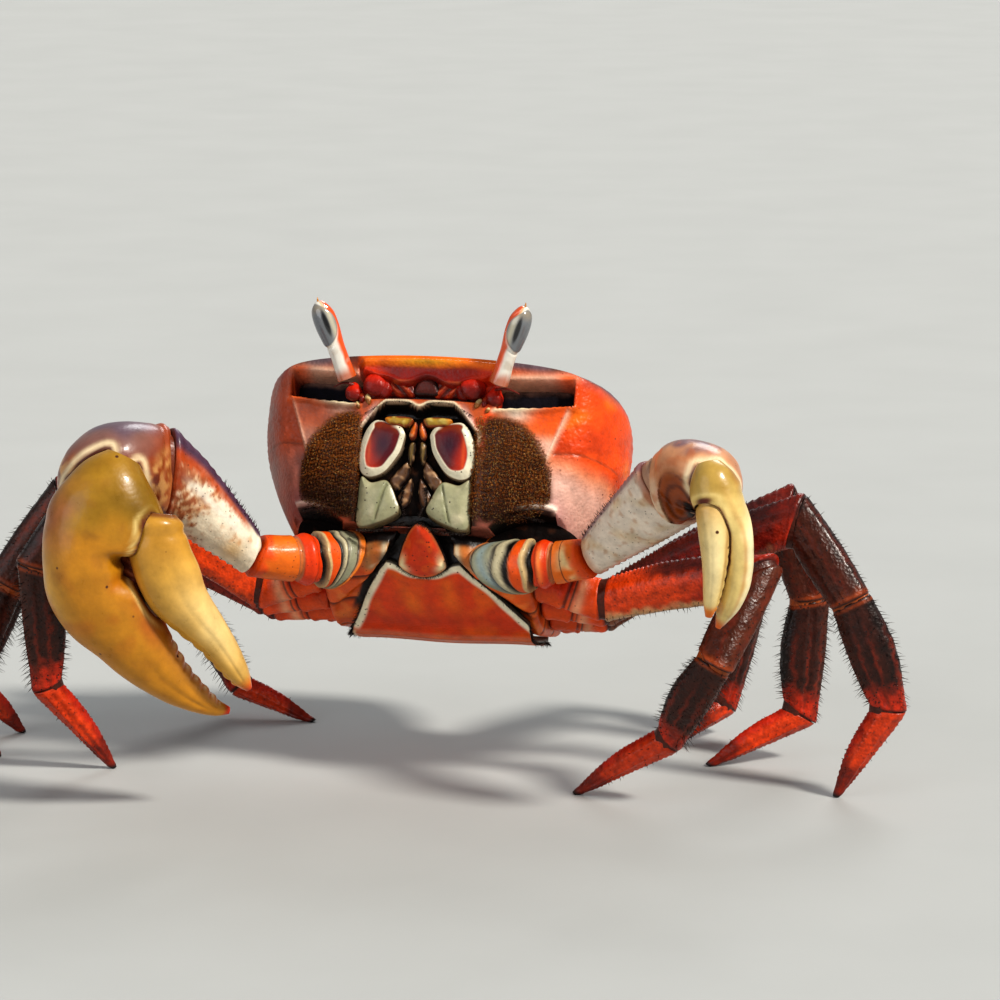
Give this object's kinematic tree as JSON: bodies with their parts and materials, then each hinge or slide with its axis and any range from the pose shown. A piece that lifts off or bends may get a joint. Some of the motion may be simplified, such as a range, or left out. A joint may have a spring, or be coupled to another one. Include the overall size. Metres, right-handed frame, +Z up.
{
  "type": "land crab, still display model",
  "caption": "Life-size land crab standing with its front raised, a large and a small claw held before it, broad belly plate.",
  "frame": {"origin": "middle of the crab's outline seen from above, on the floor under its feet", "axes": "+X to the crab's left, the longest way across the legs; -Y the way the crab faces; +Z up, the shortest extent"},
  "size_m": [0.2616, 0.1478, 0.1317],
  "materials": {
    "shell": "painted shell, semi-gloss, orange to mauve",
    "belly": "painted shell plates, orange with cream edges",
    "eye": "glossy grey eye with a dark slit",
    "mouthpart": "painted plate, pale green with a maroon field",
    "feeler": "painted, glossy red",
    "arm": "painted shell, cream with rusty mottling",
    "claw": "painted claw, glossy ochre with orange tips",
    "thigh": "painted shell, orange red",
    "shin": "painted shell with dark bristles, brown black",
    "toe": "painted shell, red"
  },
  "bodies": {
    "root": {"antenna_left": "feeler", "antenna_right": "feeler", "carapace": "shell", "cheliped_carpus_left": "arm", "cheliped_carpus_right": "arm", "cheliped_dactyl_left": "claw", "cheliped_dactyl_right": "claw", "cheliped_hip_left": "thigh", "cheliped_hip_right": "thigh", "cheliped_merus_left": "arm", "cheliped_merus_right": "arm", "cheliped_palm_left": "claw", "cheliped_palm_right": "claw", "eye_left": "eye", "eye_right": "eye", "leg2_carpus_left": "shin", "leg2_carpus_right": "shin", "leg2_dactyl_left": "toe", "leg2_dactyl_right": "toe", "leg2_hip_left": "thigh", "leg2_hip_right": "thigh", "leg2_merus_left": "thigh", "leg2_merus_right": "thigh", "leg2_propodus_left": "shin", "leg2_propodus_right": "shin", "leg3_carpus_left": "shin", "leg3_carpus_right": "shin", "leg3_dactyl_left": "toe", "leg3_dactyl_right": "toe", "leg3_hip_left": "thigh", "leg3_hip_right": "thigh", "leg3_merus_left": "thigh", "leg3_merus_right": "thigh", "leg3_propodus_left": "shin", "leg3_propodus_right": "shin", "leg4_carpus_left": "shin", "leg4_carpus_right": "shin", "leg4_dactyl_left": "toe", "leg4_dactyl_right": "toe", "leg4_hip_left": "thigh", "leg4_hip_right": "thigh", "leg4_merus_left": "thigh", "leg4_merus_right": "thigh", "leg4_propodus_left": "shin", "leg4_propodus_right": "shin", "leg5_carpus_left": "shin", "leg5_carpus_right": "shin", "leg5_dactyl_left": "toe", "leg5_dactyl_right": "toe", "leg5_hip_left": "thigh", "leg5_hip_right": "thigh", "leg5_merus_left": "thigh", "leg5_merus_right": "thigh", "leg5_propodus_left": "shin", "leg5_propodus_right": "shin", "maxilliped_left": "mouthpart", "maxilliped_right": "mouthpart", "pleon": "belly", "telson": "belly", "thorax": "belly"}
  },
  "joints": []
}
